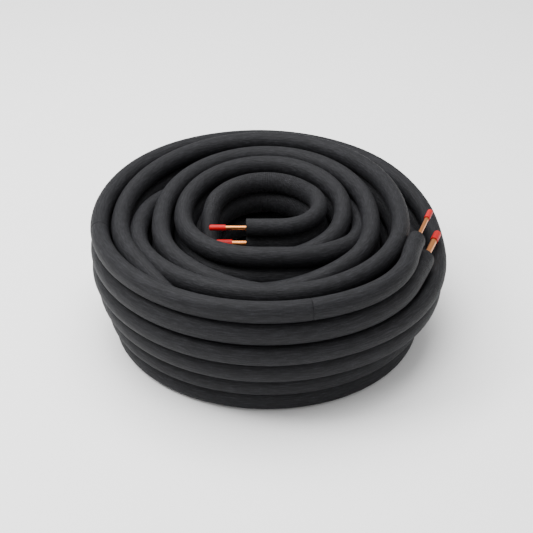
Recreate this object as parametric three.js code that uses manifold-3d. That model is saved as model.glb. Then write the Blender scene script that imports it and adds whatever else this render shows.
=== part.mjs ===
// A coiled line set for a small split air conditioner: a thin and a thick copper
// tube, each in its own black foam sleeve, wound together as one flat-lying coil.
// Millimetres, +Z up, the origin on the floor in the middle of the coil. The
// outer ends of the pair lie at the right, the inner ends reach across the bore.
import * as THREE from 'three';
import { mergeVertices } from 'three/addons/utils/BufferGeometryUtils.js';
import Module from 'manifold-3d';

// Tubes and sleeves
const liquidTubeDiameter = 6.35;
const liquidTubeWall = 0.76;
const suctionTubeDiameter = 9.52;
const suctionTubeWall = 0.81;
const foamWall = 12.7;
const fitGap = 0.3;

// Coil: rows of turns on each other
const pairsHigh = 3;
const outerTurnRadius = 248;
const outerTaper = 32;
const innerTurnRadius = 86;
const innerTaper = 10;
const bottomTurnCount = 5;

// Turns that show on the top between the inner one and the outer one: how far out
// each lies, from 0 at the inner one to 1, and how many rows it is sunk
const topTurns = [
  { outward: 0.8, sunk: 0 },
  { outward: 0.63, sunk: 0.86 },
  { outward: 0.46, sunk: 0 },
  { outward: 0.26, sunk: 0 },
  { outward: 0.13, sunk: 0.92 },
];

// Outer ends: the pair leaves the top turn and stops at the right, a little inwards
const outerLeaveAngle = -60;
const outerBendRadius = 190;
const outerBendEnd = -20;
const outerStraight = 65;
const outerSlotRise = [70, 140];
const liquidOuterStub = 46;
const suctionOuterStub = 36;

// Inner ends: the pair leaves the innermost turn and runs across the bore
const innerLeaveAngle = 45;
const innerBendRadius = 60;
const innerBendEnd = -90;
const innerStraight = 48;
const innerSlotRise = [-160, -195];
const innerSlotInset = 40;
const liquidInnerStub = 30;
const suctionInnerStub = 21;

// End caps
const capLength = 24;
const capWall = 0.8;
const capEndThickness = 1.5;
const capEndRounding = 1.2;

// Room around the free ends where they lie in the coil
const slotGap = 1;

// Facets
const coilSegments = 36;
const sleeveSides = 12;
const tubeSides = 12;
const capSegments = 24;
const arcStep = 9;
const cornerFacet = 30;
const crestFacets = 3;

// How much of a turn's section shows to each side, in degrees
const sideAngle = 60;
const shownAngle = 70;
const sunkAngle = 30;
const bottomOuterAngles = [-105, 45];
const topOuterAngles = [-45, 165];
const topInnerAngles = [15, 225];
const bottomInnerAngles = [135, 285];

// Sizes that follow from those above
const liquidSleeveRadius = liquidTubeDiameter / 2 + foamWall;
const suctionSleeveRadius = suctionTubeDiameter / 2 + foamWall;
const rowPitch = liquidSleeveRadius + suctionSleeveRadius + fitGap;
const rowCount = 2 * pairsHigh;
const topRow = rowCount - 1;
const rowSize = (row) => (row % 2 === 0 ? suctionSleeveRadius : liquidSleeveRadius);
const rowHeight = (row) => suctionSleeveRadius + row * rowPitch;
const taper = (row) => Math.max(0, 1 - row / pairsHigh);
const outerRowRadius = (row) => outerTurnRadius - outerTaper * taper(row);
const innerRowRadius = (row) => innerTurnRadius - innerTaper * taper(row);
const slotFloor = rowHeight(topRow - 1) - suctionSleeveRadius - fitGap;
const slotDepth = 3 * rowPitch;

const degrees = THREE.MathUtils.degToRad;

// How near the axis the outer ends come on their straight stretch
const outerBendTurn = degrees(outerBendEnd - outerLeaveAngle);
const outerNearest = outerBendRadius
  + (outerTurnRadius - outerBendRadius) * Math.cos(outerBendTurn);

const up = new THREE.Vector3(0, 0, 1);

const foam = () => new THREE.MeshStandardMaterial({
  color: 0x1b1c1f, roughness: 0.82, metalness: 0,
});
const copper = () => new THREE.MeshStandardMaterial({
  color: 0xc98548, roughness: 0.32, metalness: 1,
});
const redPlastic = () => new THREE.MeshStandardMaterial({
  color: 0xb5161b, roughness: 0.38, metalness: 0,
});

const wasm = await Module();
wasm.setup();

function toSolid(geometry) {
  const bare = geometry.clone();
  bare.deleteAttribute('normal');
  bare.deleteAttribute('uv');
  const merged = mergeVertices(bare, 1e-3);
  return new wasm.Manifold(new wasm.Mesh({
    numProp: 3,
    vertProperties: Float32Array.from(merged.attributes.position.array),
    triVerts: Uint32Array.from(merged.index.array),
  }));
}

function toGeometry(solid) {
  const result = solid.getMesh();
  const geometry = new THREE.BufferGeometry();
  geometry.setAttribute('position', new THREE.BufferAttribute(result.vertProperties, 3));
  geometry.setIndex(new THREE.BufferAttribute(result.triVerts, 1));
  return geometry.toNonIndexed();
}

function piece(name, geometry, material) {
  geometry.computeVertexNormals();
  const mesh = new THREE.Mesh(geometry, material);
  mesh.name = name;
  return mesh;
}

// A path that keeps its own stations, with the swept section upright at each one
class Route extends THREE.Curve {
  constructor(stations) {
    super();
    this.stations = stations;
  }

  getPoint(t) {
    const last = this.stations.length - 1;
    const whole = Math.min(last - 1, Math.floor(t * last));
    return this.stations[whole].point.clone().lerp(this.stations[whole + 1].point, t * last - whole);
  }

  getSpacedPoints() {
    return this.stations.map((station) => station.point);
  }

  computeFrenetFrames() {
    const tangents = this.stations.map((station) => station.heading);
    const binormals = tangents.map((heading) => up.clone().cross(heading).normalize());
    const normals = tangents.map((heading, i) => binormals[i].clone().cross(heading).normalize());
    return { tangents, normals, binormals };
  }
}

// Stations along an arc, from one angle to another, seen from above
function arcStations(centre, radius, from, to, step = arcStep) {
  const count = Math.max(1, Math.round(Math.abs(to - from) / step));
  const turn = Math.sign(to - from);
  const stations = [];
  for (let i = 0; i <= count; i += 1) {
    const angle = degrees(from + ((to - from) * i) / count);
    const outward = new THREE.Vector3(Math.cos(angle), Math.sin(angle), 0);
    stations.push({
      point: centre.clone().addScaledVector(outward, radius),
      heading: up.clone().cross(outward).multiplyScalar(turn),
    });
  }
  return stations;
}

// The same stations with a straight length added at their end
function withStraight(stations, length) {
  const end = stations[stations.length - 1];
  const point = end.point.clone().addScaledVector(end.heading, length);
  return [...stations, { point, heading: end.heading }];
}

const lifted = (stations, height) => stations.map(({ point, heading }) => ({
  point: point.clone().setZ(height), heading,
}));

function sweep(shape, stations) {
  return new THREE.ExtrudeGeometry(shape, {
    steps: stations.length - 1,
    bevelEnabled: false,
    extrudePath: new Route(stations),
  });
}

// A round outline whose flats, not its corners, lie on the true radius
function roundOutline(radius, sides) {
  const corner = radius / Math.cos(Math.PI / sides);
  return Array.from({ length: sides }, (unused, i) => {
    const angle = (Math.PI * (2 * i + 1)) / sides;
    return new THREE.Vector2(corner * Math.cos(angle), corner * Math.sin(angle));
  });
}

function ringShape(outerRadius, outerSides, boreRadius, boreSides) {
  const shape = new THREE.Shape(roundOutline(outerRadius, outerSides));
  shape.holes.push(new THREE.Path(roundOutline(boreRadius, boreSides)));
  return shape;
}

// One turn seen in section: the part of its circle that shows, facing one way
function crest(radius, height, size, facing, halfSpan, facets) {
  const corner = size / Math.cos(degrees(halfSpan / facets));
  return Array.from({ length: facets + 1 }, (unused, i) => {
    const angle = degrees(facing - halfSpan + (2 * halfSpan * i) / facets);
    return new THREE.Vector2(radius + corner * Math.cos(angle), height + corner * Math.sin(angle));
  });
}

const cornerCrest = (radius, row, [from, to]) => crest(
  radius,
  rowHeight(row),
  rowSize(row),
  (from + to) / 2,
  (to - from) / 2,
  (to - from) / cornerFacet,
);

// The wound bundle in section: outer rows, top turns, bore rows, bottom turns
function bundleProfile() {
  const points = cornerCrest(outerRowRadius(0), 0, bottomOuterAngles);
  for (let row = 1; row < topRow; row += 1) {
    points.push(...crest(outerRowRadius(row), rowHeight(row), rowSize(row), 0, sideAngle, crestFacets));
  }
  points.push(...cornerCrest(outerRowRadius(topRow), topRow, topOuterAngles));
  for (const turn of topTurns) {
    const radius = THREE.MathUtils.lerp(innerTurnRadius, outerTurnRadius, turn.outward);
    const height = rowHeight(topRow) - turn.sunk * rowPitch;
    const span = turn.sunk > 0 ? sunkAngle : shownAngle;
    points.push(...crest(radius, height, rowSize(topRow), 90, span, crestFacets));
  }
  points.push(...cornerCrest(innerRowRadius(topRow), topRow, topInnerAngles));
  for (let row = topRow - 1; row > 0; row -= 1) {
    points.push(...crest(innerRowRadius(row), rowHeight(row), rowSize(row), 180, sideAngle, crestFacets));
  }
  points.push(...cornerCrest(innerRowRadius(0), 0, bottomInnerAngles));
  const reach = outerRowRadius(0) - innerRowRadius(0);
  for (let i = 1; i < bottomTurnCount - 1; i += 1) {
    const radius = innerRowRadius(0) + (reach * i) / (bottomTurnCount - 1);
    points.push(...crest(radius, rowHeight(0), rowSize(0), 270, sideAngle, crestFacets));
  }
  points.push(points[0].clone());
  return points;
}

// The empty stretch of a top turn: level, then rising to where the pair comes up
function slot(nearRadius, farRadius, from, [riseFrom, riseTo]) {
  const middle = (nearRadius + farRadius) / 2;
  const stations = arcStations(new THREE.Vector3(), middle, from, riseTo);
  const count = stations.length - 1;
  const spread = Math.abs(riseTo - riseFrom);
  stations.forEach(({ point }, i) => {
    const angle = from + ((riseTo - from) * i) / count;
    const risen = THREE.MathUtils.smoothstep(Math.abs(angle - riseTo), 0, spread);
    const floor = slotFloor + (1 - risen) * 2 * rowPitch;
    point.setZ(floor + slotDepth / 2);
  });
  const halfHeight = slotDepth / 2;
  const halfWidth = (farRadius - nearRadius) / 2;
  const block = new THREE.Shape([
    new THREE.Vector2(-halfHeight, -halfWidth),
    new THREE.Vector2(halfHeight, -halfWidth),
    new THREE.Vector2(halfHeight, halfWidth),
    new THREE.Vector2(-halfHeight, halfWidth),
  ]);
  return toSolid(sweep(block, stations));
}

const gapAngle = (radius) => THREE.MathUtils.radToDeg(fitGap / radius);

function woundCoil() {
  const turned = new THREE.LatheGeometry(bundleProfile(), coilSegments);
  turned.rotateX(Math.PI / 2);
  const bundle = toSolid(turned);
  const outerSlot = slot(
    outerNearest - suctionSleeveRadius - slotGap,
    outerTurnRadius + 2 * suctionSleeveRadius,
    outerLeaveAngle - gapAngle(outerTurnRadius),
    outerSlotRise,
  );
  const innerSlot = slot(
    innerSlotInset,
    innerTurnRadius + suctionSleeveRadius + slotGap,
    innerLeaveAngle + gapAngle(innerTurnRadius),
    innerSlotRise,
  );
  return toGeometry(bundle.subtract(outerSlot).subtract(innerSlot));
}

// A push-on cap: a cup that reaches over the tube's end, its mouth at the origin
function capGeometry(tubeDiameter) {
  const bore = tubeDiameter / 2 + fitGap;
  const outside = bore + capWall;
  const floor = capLength - capEndThickness;
  const profile = [
    new THREE.Vector2(0, floor),
    new THREE.Vector2(bore, floor),
    new THREE.Vector2(bore, 0),
    new THREE.Vector2(outside, 0),
    new THREE.Vector2(outside, capLength - capEndRounding),
    new THREE.Vector2(outside - capEndRounding, capLength),
    new THREE.Vector2(0, capLength),
  ];
  return new THREE.LatheGeometry(profile, capSegments);
}

// One free end of one tube: its sleeve, the bare tube and the cap on it
function freeEnd(where, kind, stations, stub) {
  const isLiquid = kind === 'liquid';
  const tubeDiameter = isLiquid ? liquidTubeDiameter : suctionTubeDiameter;
  const tubeWall = isLiquid ? liquidTubeWall : suctionTubeWall;
  const sleeveRadius = isLiquid ? liquidSleeveRadius : suctionSleeveRadius;
  const height = rowHeight(isLiquid ? topRow : topRow - 1);
  const route = lifted(stations, height);
  const tubeRoute = withStraight(route, stub + capLength - capEndThickness - fitGap);
  const mouth = withStraight(route, stub)[route.length];

  const sleeveShape = ringShape(sleeveRadius, sleeveSides, tubeDiameter / 2 + fitGap, tubeSides);
  const sleeve = piece(`${kind}_sleeve_${where}_end`, sweep(sleeveShape, route), foam());
  const tubeShape = ringShape(tubeDiameter / 2, tubeSides, tubeDiameter / 2 - tubeWall, tubeSides);
  const tube = piece(`${kind}_tube_${where}_end`, sweep(tubeShape, tubeRoute), copper());
  const cap = piece(`${kind}_cap_${where}`, capGeometry(tubeDiameter), redPlastic());
  cap.position.copy(mouth.point);
  cap.quaternion.setFromUnitVectors(new THREE.Vector3(0, 1, 0), mouth.heading);
  return [sleeve, tube, cap];
}

// The middle of a bend that leaves a turn at an angle without a kink
function bendCentre(turnRadius, bendRadius, leaveAngle) {
  const offset = turnRadius - bendRadius;
  const angle = degrees(leaveAngle);
  return new THREE.Vector3(offset * Math.cos(angle), offset * Math.sin(angle), 0);
}

const outerStations = withStraight(
  arcStations(
    bendCentre(outerTurnRadius, outerBendRadius, outerLeaveAngle),
    outerBendRadius,
    outerLeaveAngle,
    outerBendEnd,
  ),
  outerStraight,
);
const innerStations = withStraight(
  arcStations(
    bendCentre(innerTurnRadius, innerBendRadius, innerLeaveAngle),
    innerBendRadius,
    innerLeaveAngle,
    innerBendEnd,
    2 * arcStep,
  ),
  innerStraight,
);

const lineSet = new THREE.Group();
lineSet.add(piece('wound_coil', woundCoil(), foam()));
lineSet.add(...freeEnd('outer', 'liquid', outerStations, liquidOuterStub));
lineSet.add(...freeEnd('outer', 'suction', outerStations, suctionOuterStub));
lineSet.add(...freeEnd('inner', 'liquid', innerStations, liquidInnerStub));
lineSet.add(...freeEnd('inner', 'suction', innerStations, suctionInnerStub));

export default lineSet;
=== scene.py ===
import bpy
import math
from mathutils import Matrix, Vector


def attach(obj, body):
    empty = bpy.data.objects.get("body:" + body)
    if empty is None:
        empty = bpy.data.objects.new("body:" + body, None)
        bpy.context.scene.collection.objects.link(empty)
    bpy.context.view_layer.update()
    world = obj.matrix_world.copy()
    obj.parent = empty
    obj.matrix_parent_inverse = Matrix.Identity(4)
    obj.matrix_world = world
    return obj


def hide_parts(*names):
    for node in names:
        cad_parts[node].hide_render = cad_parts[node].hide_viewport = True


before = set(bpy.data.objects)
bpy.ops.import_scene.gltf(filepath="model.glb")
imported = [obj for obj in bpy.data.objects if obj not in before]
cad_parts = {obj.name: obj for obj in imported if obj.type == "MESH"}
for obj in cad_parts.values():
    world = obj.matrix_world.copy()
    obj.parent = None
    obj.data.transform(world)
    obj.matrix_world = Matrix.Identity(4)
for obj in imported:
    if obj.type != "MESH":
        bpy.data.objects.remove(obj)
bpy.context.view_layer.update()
print("frame loaded")

# Metres from here on. The pair is a thick sleeve with a thin one lying on it.
pair = {
    "liquidTube": 0.00635,
    "suctionTube": 0.00952,
    "foamWall": 0.0127,
    "touch": 0.0003,
    "squeeze": 0.86,
    "sides": 28,
}
liquidRadius = pair["liquidTube"] / 2 + pair["foamWall"]
suctionRadius = pair["suctionTube"] / 2 + pair["foamWall"]
rowPitch = liquidRadius + suctionRadius + pair["touch"]
levelPitch = 2 * rowPitch

# How the pair is laid, in the order it was wound from the outside in. Each station is an
# angle seen from above in degrees (0 right, falling clockwise), the thick tube's distance
# from the axis in mm, its level (0 on the floor, 2 on top), and how far in mm the thin
# tube leans out over it. Between two stations the values ease over. The turns rise at the
# back and wander a little in and out, which fades away towards each end of a stretch.
laying = {
    "stepDegrees": 3.75,
    "backRise": 0.013,
    "wander": 0.0016,
    "wanderTurns": 2.3,
    "wanderFade": 10,
    "outer": [
        (-60, 248, 2, 0), (-205, 247, 2, 0), (-250, 252, 1.88, 0), (-290, 260, 1.72, 3),
        (-312, 266, 1.56, 5), (-336, 261, 1.33, 5), (-350, 256, 1.16, 5), (-362, 253, 1.06, 6),
        (-400, 246, 1, 8), (-430, 240, 1, 9), (-595, 240, 1, 9), (-675, 217, 0, 11),
        (-880, 217, 0, 11), (-955, 181, 0, 0),
        (-1235, 181, 0, 0), (-1315, 146, 0, 0),
        (-1595, 146, 0, 0), (-1675, 111, 0, 0),
        (-1955, 111, 0, 0), (-2035, 77, 0, 2),
        (-2235, 77, 0, 2), (-2315, 84, 1, 2),
        (-2658, 86, 1, 0), (-2730, 86, 2, 0), (-2835, 86, 2, 0),
    ],
    "second": [
        (-40, 212, 1, 0), (-95, 214, 1.1, 0), (-150, 218, 2, 0), (-180, 217, 2, 0),
        (-270, 222, 2, 0), (-360, 200, 2, 0), (-450, 207, 2, 0), (-510, 200, 1.95, 0),
        (-540, 188, 1.85, 0), (-572, 180, 1.62, 0), (-605, 176, 1.3, 0), (-640, 172, 1, 0),
    ],
    "third": [
        (-30, 172, 1, 0), (-60, 177, 1.35, 0), (-90, 179, 1.75, 0), (-140, 168, 1.97, 0),
        (-180, 157, 2, 0), (-270, 172, 2, 0), (-360, 156, 2, 0), (-400, 163, 1.9, 0),
        (-450, 150, 1.5, 0), (-500, 140, 1.2, 0), (-540, 138, 1, 0),
    ],
    "fourth": [
        (95, 130, 1.1, 0), (60, 135, 1.4, 0), (25, 139, 1.62, 0), (0, 139, 1.72, 0),
        (-20, 137, 1.8, 0), (-45, 128, 1.92, 0), (-90, 110, 2, 0), (-135, 118, 2, 0),
        (-180, 125, 2, 0),
        (-270, 139, 2, 0), (-330, 125, 2, 0), (-360, 114, 1.98, 0), (-385, 106, 1.9, 0),
        (-410, 96, 1.8, 0), (-435, 86, 1.68, 0), (-460, 82, 1.5, 0), (-490, 90, 1.25, 0),
        (-540, 106, 1.15, 0),
        (-580, 110, 1.4, 0), (-610, 112, 1.5, 0), (-650, 110, 1, 0),
    ],
    "middle": [
        (60, 214, 1, 0), (-300, 210, 1, 0), (-400, 176, 1, 0), (-760, 146, 1, 0),
        (-1120, 116, 1, 0),
    ],
    "under": [(75, 240, 0.85, 0), (-60, 230, 0.85, 0)],
}

# A free end leaves its turn on a tighter bend and runs straight. "slim" is how much thinner
# the sleeves are there, and the shifts are how far each one has moved at its end, in metres.
freeEnds = {
    "outer": {
        "turnRadius": 0.248,
        "leaveAngle": -60,
        "radius": 0.190,
        "endAngle": -20,
        "straight": 0.065,
        "slim": 0.97,
        "thickShift": (0.001, -0.008, 0),
        "thinShift": (-0.013, -0.009, 0),
    },
    "inner": {
        "turnRadius": 0.086,
        "leaveAngle": 45,
        "radius": 0.060,
        "endAngle": -90,
        "straight": 0.048,
        "slim": 0.86,
        "thickShift": (0, 0.007, 0.001),
        "thinShift": (0, 0.003, -0.003),
    },
    "bendStepDegrees": 5,
    "straightSteps": 8,
    "slimEarly": 1.6,
}

# Bare tube, cap and bore at each free end
stubs = {
    "outer": {"liquid": 0.064, "suction": 0.055},
    "inner": {"liquid": 0.030, "suction": 0.021},
    "hidden": 0.030,
    "boreDepth": 0.036,
    "liquidWall": 0.00076,
    "suctionWall": 0.00081,
    "room": 0.0003,
    "boreSides": 32,
    "sides": 48,
}
caps = {
    "length": 0.024,
    "wall": 0.0009,
    "tipWall": 0.0018,
    "tipRounding": 0.0030,
    "roundedRadius": 0.0056,
    "roundingSteps": 6,
}
smoothDegrees = {"sleeve": 50, "tube": 40, "cap": 35}

# Butt seams of the thin sleeve: where they are on the outer turn, in degrees, and how thick
# the sleeve is at the points added there
seams = {
    "places": [-76, -171],
    "leastReach": 0.24,
    "step": 0.0007,
    "swell": [1, 0.985, 0.93, 0.985, 1],
}

# Looks: colours, and the scale and depth in metres of each pattern in the surface
foamLook = {
    "colour": (0.0085, 0.0086, 0.0096),
    "dust": (0.027, 0.027, 0.031),
    "dustFrom": 0.22,
    "dustTo": 0.42,
    "roughness": 0.62,
    "shine": 0.12,
    "streakScale": 700,
    "streakDepth": 0.0006,
    "streakLength": 0.12,
    "grainScale": 1500,
    "grainDepth": 0.00025,
    "dentScale": 60,
    "dentDepth": 0.0012,
    "dentLength": 0.6,
    "foldReach": 0.118,
    "foldFade": 0.02,
    "foldBehind": 0.05,
    "foldScale": 60,
    "foldDepth": 0.0006,
    "foldDistortion": 3,
}
copperLook = {
    "colour": (0.60, 0.23, 0.075),
    "roughness": 0.30,
    "scratchScale": 900,
    "scratchDepth": 0.00006,
}
capLook = {"colour": (0.40, 0.0006, 0.002), "roughness": 0.5, "shine": 0.25}

studio = {
    "floorSize": 12,
    "floorColour": (0.96, 0.96, 0.96),
    "floorRoughness": 0.9,
    "skyStrength": 0.85,
}
view = {
    "elevation": 32.5,
    "distance": 2.0,
    "target": (0, 0, 0.1),
    "focalPixels": 1315,
    "frame": 533,
    "sensor": 36,
    "nearest": 0.01,
}


def ease(low, high, share):
    return low + (high - low) * share * share * (3 - 2 * share)


# How fast a value changes at one of its stations, so that it runs smoothly and never past them
def slopeAt(angles, values, i):
    if i in (0, len(values) - 1):
        return 0
    before = (values[i] - values[i - 1]) / (angles[i] - angles[i - 1])
    after = (values[i + 1] - values[i]) / (angles[i + 1] - angles[i])
    return 2 * before * after / (before + after) if before * after > 0 else 0


def smoothBetween(angles, values, i, share):
    span = angles[i + 1] - angles[i]
    risen = share * share * (3 - 2 * share)
    leaving = share * (1 - share) ** 2 * span * slopeAt(angles, values, i)
    coming = share * share * (share - 1) * span * slopeAt(angles, values, i + 1)
    return values[i] * (1 - risen) + values[i + 1] * risen + leaving + coming


# Points of one stretch: the thick tube's middle line and the thin one's
def layStretch(stations):
    angles, reaches, levels, leans = zip(*stations)
    thick, thin = [], []
    for i in range(len(stations) - 1):
        count = max(1, round(abs(angles[i + 1] - angles[i]) / laying["stepDegrees"]))
        last = i == len(stations) - 2
        for k in range(count + (1 if last else 0)):
            share = k / count
            angle = math.radians(angles[i] + (angles[i + 1] - angles[i]) * share)
            reach = smoothBetween(angles, reaches, i, share) / 1000
            level = smoothBetween(angles, levels, i, share)
            lean = smoothBetween(angles, leans, i, share) / 1000
            along = (i + share) / (len(stations) - 1)
            settled = min(1, laying["wanderFade"] * along, laying["wanderFade"] * (1 - along))
            reach += laying["wander"] * settled * math.sin(laying["wanderTurns"] * angle)
            rise = laying["backRise"] * max(0, math.sin(angle)) * level / 2
            height = suctionRadius + level * levelPitch + rise
            above = math.sqrt(rowPitch ** 2 - lean ** 2)
            outward = Vector((math.cos(angle), math.sin(angle), 0))
            thick.append(outward * reach + Vector((0, 0, height)))
            thin.append(outward * (reach + lean) + Vector((0, 0, height + above)))
    return thick, thin


# One free end's points from where it leaves the turn, and how thick its sleeve is at each
def leaveRun(run, height, shift):
    offset = run["turnRadius"] - run["radius"]
    leave, end = math.radians(run["leaveAngle"]), math.radians(run["endAngle"])
    centre = Vector((math.cos(leave), math.sin(leave), 0)) * offset
    turn = 1 if end > leave else -1
    count = round(abs(run["endAngle"] - run["leaveAngle"]) / freeEnds["bendStepDegrees"])
    points = []
    for i in range(1, count + 1):
        angle = leave + (end - leave) * i / count
        around = Vector((math.cos(angle), math.sin(angle), 0)) * run["radius"]
        points.append(centre + around + Vector((0, 0, height)))
    heading = Vector((-math.sin(end), math.cos(end), 0)) * turn
    for i in range(freeEnds["straightSteps"]):
        points.append(points[-1] + heading * run["straight"] / freeEnds["straightSteps"])
    shares = [(i + 1) / len(points) for i in range(len(points))]
    points = [point + Vector(shift) * ease(0, 1, share) for point, share in zip(points, shares)]
    swell = [ease(1, run["slim"], min(1, share * freeEnds["slimEarly"])) for share in shares]
    return points, swell


def deselectAll():
    if bpy.context.mode != "OBJECT":
        bpy.ops.object.mode_set(mode="OBJECT")
    bpy.ops.object.select_all(action="DESELECT")


def makeActive(obj):
    deselectAll()
    obj.select_set(True)
    bpy.context.view_layer.objects.active = obj


# An oval bar along a line of points, as a mesh whose UV runs in metres along and around it
def sweepBar(name, points, swell, radius, squeeze):
    deselectAll()
    bpy.ops.curve.primitive_bezier_circle_add(radius=radius, location=(0, 0, 0))
    outline = bpy.context.active_object
    outline.scale = (squeeze, 1, 1)
    bpy.ops.object.transform_apply(location=False, rotation=False, scale=True)
    outline.data.resolution_u = pair["sides"] // 4
    curve = bpy.data.curves.new(name, "CURVE")
    curve.dimensions = "3D"
    curve.twist_mode = "Z_UP"
    curve.bevel_mode = "OBJECT"
    curve.bevel_object = outline
    curve.use_fill_caps = True
    spline = curve.splines.new("POLY")
    spline.points.add(len(points) - 1)
    for spot, point, size in zip(spline.points, points, swell):
        spot.co = (*point, 1)
        spot.radius = size
    bar = bpy.data.objects.new(name, curve)
    bpy.context.collection.objects.link(bar)
    makeActive(bar)
    bpy.ops.object.convert(target="MESH")
    bar = bpy.context.view_layer.objects.active
    length = sum((after - here).length for here, after in zip(points, points[1:]))
    for loop in bar.data.uv_layers[0].data:
        loop.uv = (loop.uv[0] * length, loop.uv[1])
    bpy.data.objects.remove(outline)
    bpy.data.curves.remove(curve)
    return bar


# Points added where a butt seam crosses a sleeve, with the sleeve drawn in at the seam
def addSeams(points, swell):
    for place in seams["places"]:
        wanted = math.radians(place)
        for i in range(len(points) - 1):
            here = math.atan2(points[i].y, points[i].x)
            after = math.atan2(points[i + 1].y, points[i + 1].x)
            if here >= wanted > after and points[i].xy.length > seams["leastReach"]:
                share = (here - wanted) / (here - after)
                spot = points[i].lerp(points[i + 1], share)
                step = (points[i + 1] - points[i]).normalized() * seams["step"]
                middle = len(seams["swell"]) // 2
                added = [spot + step * (k - middle) for k in range(len(seams["swell"]))]
                points[i + 1:i + 1] = added
                swell[i + 1:i + 1] = seams["swell"]
                break


outerThick, outerThin = layStretch(laying["outer"])
runs = {}
for where, height in (("outer", outerThick[0].z), ("inner", outerThick[-1].z)):
    run = freeEnds[where]
    runs[where] = {
        "suction": leaveRun(run, height, run["thickShift"]),
        "liquid": leaveRun(run, height + rowPitch, run["thinShift"]),
    }


# The turns between one tube's two free ends, with how thick the sleeve is at each point
def wholeRun(kind, coil):
    start, startSwell = runs["outer"][kind]
    end, endSwell = runs["inner"][kind]
    points = start[::-1] + coil + end
    return points, startSwell[::-1] + [1] * len(coil) + endSwell


stretches = {
    "suction": [wholeRun("suction", outerThick)],
    "liquid": [wholeRun("liquid", outerThin)],
}
addSeams(*stretches["liquid"][0])
for name in ("second", "third", "fourth", "middle", "under"):
    thick, thin = layStretch(laying[name])
    stretches["suction"].append((thick, [1] * len(thick)))
    stretches["liquid"].append((thin, [1] * len(thin)))


def tubeEnd(where, kind):
    points = runs[where][kind][0]
    heading = (points[-1] - points[-2]).normalized()
    return points[-1], heading


def alongHeading(heading):
    return heading.to_track_quat("Z", "Y").to_euler()


# A round hole cut into a piece, as deep each way from its middle
def cutRound(piece, middle, heading, radius, depth, sides):
    deselectAll()
    bpy.ops.mesh.primitive_cylinder_add(
        vertices=sides, radius=radius, depth=2 * depth,
        location=middle, rotation=alongHeading(heading))
    cutter = bpy.context.active_object
    makeActive(piece)
    cut = piece.modifiers.new("hole", "BOOLEAN")
    cut.operation = "DIFFERENCE"
    cut.solver = "EXACT"
    cut.object = cutter
    bpy.ops.object.modifier_apply(modifier=cut.name)
    bpy.data.objects.remove(cutter)


# The bore that the bare tube comes out of, cut into the end of a sleeve
def cutBore(bar, where, kind):
    mouth, heading = tubeEnd(where, kind)
    size = pair[f"{kind}Tube"] / 2 + stubs["room"]
    cutRound(bar, mouth, heading, size, stubs["boreDepth"], stubs["boreSides"])


def joinBars(bars, name):
    deselectAll()
    for bar in bars:
        bar.select_set(True)
    bpy.context.view_layer.objects.active = bars[0]
    bpy.ops.object.join()
    joined = bpy.context.view_layer.objects.active
    joined.name = name
    bpy.ops.object.shade_smooth_by_angle(angle=math.radians(smoothDegrees["sleeve"]))
    return joined


sleeves = {}
for kind, radius in (("suction", suctionRadius), ("liquid", liquidRadius)):
    bars = []
    for number, (points, swell) in enumerate(stretches[kind]):
        bars.append(sweepBar(f"{kind}Bar{number}", points, swell, radius, pair["squeeze"]))
    for where in ("outer", "inner"):
        cutBore(bars[0], where, kind)
    sleeves[kind] = joinBars(bars, f"{kind}_sleeve")


# A bare end of copper tube: an open cylinder given its wall, with its ends cut square
def bareTube(where, kind):
    mouth, heading = tubeEnd(where, kind)
    hidden = stubs["hidden"]
    shown = stubs[where][kind] + caps["length"] - caps["tipWall"] - stubs["room"]
    deselectAll()
    bpy.ops.mesh.primitive_cylinder_add(
        vertices=stubs["sides"], radius=pair[f"{kind}Tube"] / 2, depth=hidden + shown,
        end_fill_type="NOTHING", location=mouth + heading * (shown - hidden) / 2,
        rotation=alongHeading(heading))
    tube = bpy.context.active_object
    tube.name = f"bare_{kind}_tube_{where}"
    wall = tube.modifiers.new("wall", "SOLIDIFY")
    wall.thickness = stubs[f"{kind}Wall"]
    wall.offset = -1
    bpy.ops.object.modifier_apply(modifier=wall.name)
    bpy.ops.object.transform_apply(location=True, rotation=True, scale=True)
    bpy.ops.object.shade_smooth_by_angle(angle=math.radians(smoothDegrees["tube"]))
    return tube


# A push-on cap: a cup with a rounded tip, its mouth towards the coil
def pushCap(where, kind):
    mouth, heading = tubeEnd(where, kind)
    start = mouth + heading * stubs[where][kind]
    bore = pair[f"{kind}Tube"] / 2 + stubs["room"]
    outside = bore + caps["wall"]
    deselectAll()
    bpy.ops.mesh.primitive_cylinder_add(
        vertices=stubs["sides"], radius=outside, depth=caps["length"],
        location=start + heading * caps["length"] / 2, rotation=alongHeading(heading))
    cap = bpy.context.active_object
    cap.name = f"{kind}_end_cap_{where}"
    rounding = cap.modifiers.new("rounding", "BEVEL")
    rounding.width = caps["tipRounding"] * outside / caps["roundedRadius"]
    rounding.segments = caps["roundingSteps"]
    rounding.limit_method = "WEIGHT"
    weights = cap.data.attributes.new("bevel_weight_edge", "FLOAT", "EDGE")
    for edge in cap.data.edges:
        ends = [cap.data.vertices[v].co.z for v in edge.vertices]
        weights.data[edge.index].value = 1 if min(ends) > 0 else 0
    bpy.ops.object.modifier_apply(modifier=rounding.name)
    cutRound(cap, start, heading, bore, caps["length"] - caps["tipWall"], stubs["sides"])
    bpy.ops.object.transform_apply(location=True, rotation=True, scale=True)
    bpy.ops.object.shade_smooth_by_angle(angle=math.radians(smoothDegrees["cap"]))
    return cap


tubes, endCaps = [], []
for where in ("outer", "inner"):
    for kind in ("liquid", "suction"):
        tube, cap = bareTube(where, kind), pushCap(where, kind)
        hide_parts(f"{kind}_tube_{where}_end")
        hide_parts(f"{kind}_cap_{where}")
        tubes.append(tube)
        endCaps.append(cap)
print("tubes and caps made")


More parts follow.
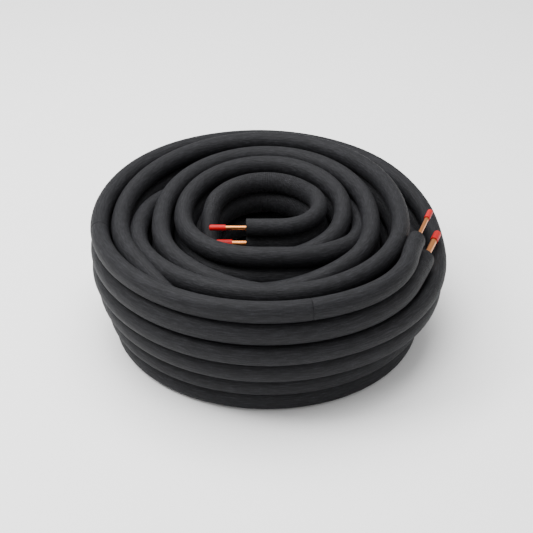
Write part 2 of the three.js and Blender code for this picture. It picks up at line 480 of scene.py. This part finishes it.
def startMaterial(name, colour, roughness):
    material = bpy.data.materials.new(name)
    material.use_nodes = True
    shader = material.node_tree.nodes["Principled BSDF"]
    shader.inputs["Base Color"].default_value = (*colour, 1)
    shader.inputs["Roughness"].default_value = roughness
    return material, shader


def mathNode(nodes, links, operation, first, second=None):
    node = nodes.new("ShaderNodeMath")
    node.operation = operation
    for socket, value in zip(node.inputs, (first, second)):
        if value is None:
            continue
        if isinstance(value, (int, float)):
            socket.default_value = value
        else:
            links.new(value, socket)
    return node.outputs[0]


def noiseNode(nodes, links, space, scale, detail, roughness):
    node = nodes.new("ShaderNodeTexNoise")
    links.new(space, node.inputs["Vector"])
    node.inputs["Scale"].default_value = scale
    node.inputs["Detail"].default_value = detail
    node.inputs["Roughness"].default_value = roughness
    return node.outputs["Fac"]


# Rises from 0 to 1 while the value goes from one limit to the other
def rampNode(nodes, links, value, start, end):
    node = nodes.new("ShaderNodeMapRange")
    links.new(value, node.inputs["Value"])
    node.inputs["From Min"].default_value = start
    node.inputs["From Max"].default_value = end
    return node.outputs["Result"]


# Black closed-cell foam. Its pattern is laid in the sleeve's own lengthwise and round
# directions: streaks along it, a powdery grain, and folds where it bends tightly.
def foamMaterial(name, radius):
    material, shader = startMaterial(name, foamLook["colour"], foamLook["roughness"])
    nodes, links = material.node_tree.nodes, material.node_tree.links
    uv = nodes.new("ShaderNodeUVMap")
    parts = nodes.new("ShaderNodeSeparateXYZ")
    links.new(uv.outputs[0], parts.inputs[0])
    turn = mathNode(nodes, links, "MULTIPLY", parts.outputs[1], 2 * math.pi)
    across = mathNode(nodes, links, "MULTIPLY", mathNode(nodes, links, "COSINE", turn), radius)
    over = mathNode(nodes, links, "MULTIPLY", mathNode(nodes, links, "SINE", turn), radius)

    def sleeveSpace(lengthwise):
        spot = nodes.new("ShaderNodeCombineXYZ")
        drawn = mathNode(nodes, links, "MULTIPLY", parts.outputs[0], lengthwise)
        links.new(drawn, spot.inputs[0])
        links.new(across, spot.inputs[1])
        links.new(over, spot.inputs[2])
        return spot.outputs[0]

    def pattern(lengthwise, scale, detail, roughness):
        return noiseNode(nodes, links, sleeveSpace(lengthwise), scale, detail, roughness)

    streaks = pattern(foamLook["streakLength"], foamLook["streakScale"], 4, 0.55)
    grain = pattern(1, foamLook["grainScale"], 3, 0.7)
    dents = pattern(foamLook["dentLength"], foamLook["dentScale"], 2, 0.55)

    # Folds across the sleeve on the tight innermost turns
    position = nodes.new("ShaderNodeTexCoord")
    place = nodes.new("ShaderNodeSeparateXYZ")
    links.new(position.outputs["Object"], place.inputs[0])
    squared = mathNode(nodes, links, "ADD",
                       mathNode(nodes, links, "POWER", place.outputs[0], 2),
                       mathNode(nodes, links, "POWER", place.outputs[1], 2))
    reach = mathNode(nodes, links, "SQRT", squared)
    foldEnd = foamLook["foldReach"] - foamLook["foldFade"]
    tight = rampNode(nodes, links, reach, foamLook["foldReach"], foldEnd)
    behind = rampNode(nodes, links, place.outputs[1], 0, foamLook["foldBehind"])
    ripple = nodes.new("ShaderNodeTexWave")
    links.new(sleeveSpace(1), ripple.inputs["Vector"])
    ripple.inputs["Scale"].default_value = foamLook["foldScale"]
    ripple.inputs["Distortion"].default_value = foamLook["foldDistortion"]
    ripple.inputs["Detail"].default_value = 2
    folds = mathNode(nodes, links, "MULTIPLY", ripple.outputs["Fac"], tight)
    folds = mathNode(nodes, links, "MULTIPLY", folds, behind)

    relief = mathNode(nodes, links, "MULTIPLY", streaks, foamLook["streakDepth"])
    for height, depth in ((grain, "grainDepth"), (dents, "dentDepth"), (folds, "foldDepth")):
        relief = mathNode(nodes, links, "ADD", relief,
                          mathNode(nodes, links, "MULTIPLY", height, foamLook[depth]))
    bump = nodes.new("ShaderNodeBump")
    bump.inputs["Distance"].default_value = 1
    bump.inputs["Strength"].default_value = 1
    links.new(relief, bump.inputs["Height"])
    links.new(bump.outputs[0], shader.inputs["Normal"])

    # Dusty pale specks and streaks on the black
    dusty = mathNode(nodes, links, "MULTIPLY", grain, streaks)
    tint = nodes.new("ShaderNodeValToRGB")
    links.new(dusty, tint.inputs["Fac"])
    clean, dusted = tint.color_ramp.elements
    clean.position = foamLook["dustFrom"]
    clean.color = (*foamLook["colour"], 1)
    dusted.position = foamLook["dustTo"]
    dusted.color = (*foamLook["dust"], 1)
    links.new(tint.outputs["Color"], shader.inputs["Base Color"])
    shader.inputs["Specular IOR Level"].default_value = foamLook["shine"]
    return material


# Drawn copper with a faint uneven surface
def copperMaterial():
    material, shader = startMaterial("drawnCopper", copperLook["colour"], copperLook["roughness"])
    nodes, links = material.node_tree.nodes, material.node_tree.links
    shader.inputs["Metallic"].default_value = 1
    space = nodes.new("ShaderNodeTexCoord").outputs["Object"]
    scratches = noiseNode(nodes, links, space, copperLook["scratchScale"], 3, 0.5)
    bump = nodes.new("ShaderNodeBump")
    bump.inputs["Distance"].default_value = copperLook["scratchDepth"]
    links.new(scratches, bump.inputs["Height"])
    links.new(bump.outputs[0], shader.inputs["Normal"])
    return material


def capMaterial():
    material, shader = startMaterial("redCap", capLook["colour"], capLook["roughness"])
    shader.inputs["Specular IOR Level"].default_value = capLook["shine"]
    return material


for kind, radius in (("suction", suctionRadius), ("liquid", liquidRadius)):
    sleeve = sleeves[kind]
    sleeve.data.materials.append(foamMaterial(f"{kind}Foam", radius))
    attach(sleeve, "root")
drawnCopper, redCap = copperMaterial(), capMaterial()
for tube in tubes:
    tube.data.materials.append(drawnCopper)
    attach(tube, "root")
for cap in endCaps:
    cap.data.materials.append(redCap)
    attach(cap, "root")
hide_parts("wound_coil", "suction_sleeve_outer_end", "suction_sleeve_inner_end")
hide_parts("wound_coil", "liquid_sleeve_outer_end", "liquid_sleeve_inner_end")
print("pieces dressed")

# Floor, light and camera
deselectAll()
bpy.ops.mesh.primitive_plane_add(size=studio["floorSize"], location=(0, 0, 0))
floor = bpy.context.active_object
floor.name = "floor"
floor.data.materials.append(
    startMaterial("paleFloor", studio["floorColour"], studio["floorRoughness"])[0])

world = bpy.data.worlds.new("studio")
bpy.context.scene.world = world
world.use_nodes = True
sky = world.node_tree.nodes["Background"]
sky.inputs["Color"].default_value = (1, 1, 1, 1)
sky.inputs["Strength"].default_value = studio["skyStrength"]


def softLight(name, place, target, size, power):
    deselectAll()
    bpy.ops.object.light_add(type="AREA", location=place)
    light = bpy.context.active_object
    light.name = name
    light.data.size = size
    light.data.energy = power
    light.rotation_euler = (Vector(target) - Vector(place)).to_track_quat("-Z", "Y").to_euler()


softLight("overheadLight", (-0.4, 0.2, 2.6), (0, 0, 0), 2.4, 150)
softLight("keyLight", (-1.5, -0.3, 1.9), (0, 0, 0.1), 0.8, 35)

tilt = math.radians(view["elevation"])
eye = Vector(view["target"]) + Vector((0, -math.cos(tilt), math.sin(tilt))) * view["distance"]
bpy.ops.object.camera_add(location=eye, rotation=(math.pi / 2 - tilt, 0, 0))
camera = bpy.context.active_object
camera.data.sensor_width = view["sensor"]
camera.data.lens = view["focalPixels"] / view["frame"] * view["sensor"]
camera.data.clip_start = view["nearest"]
bpy.context.scene.camera = camera
print("stage and camera set")
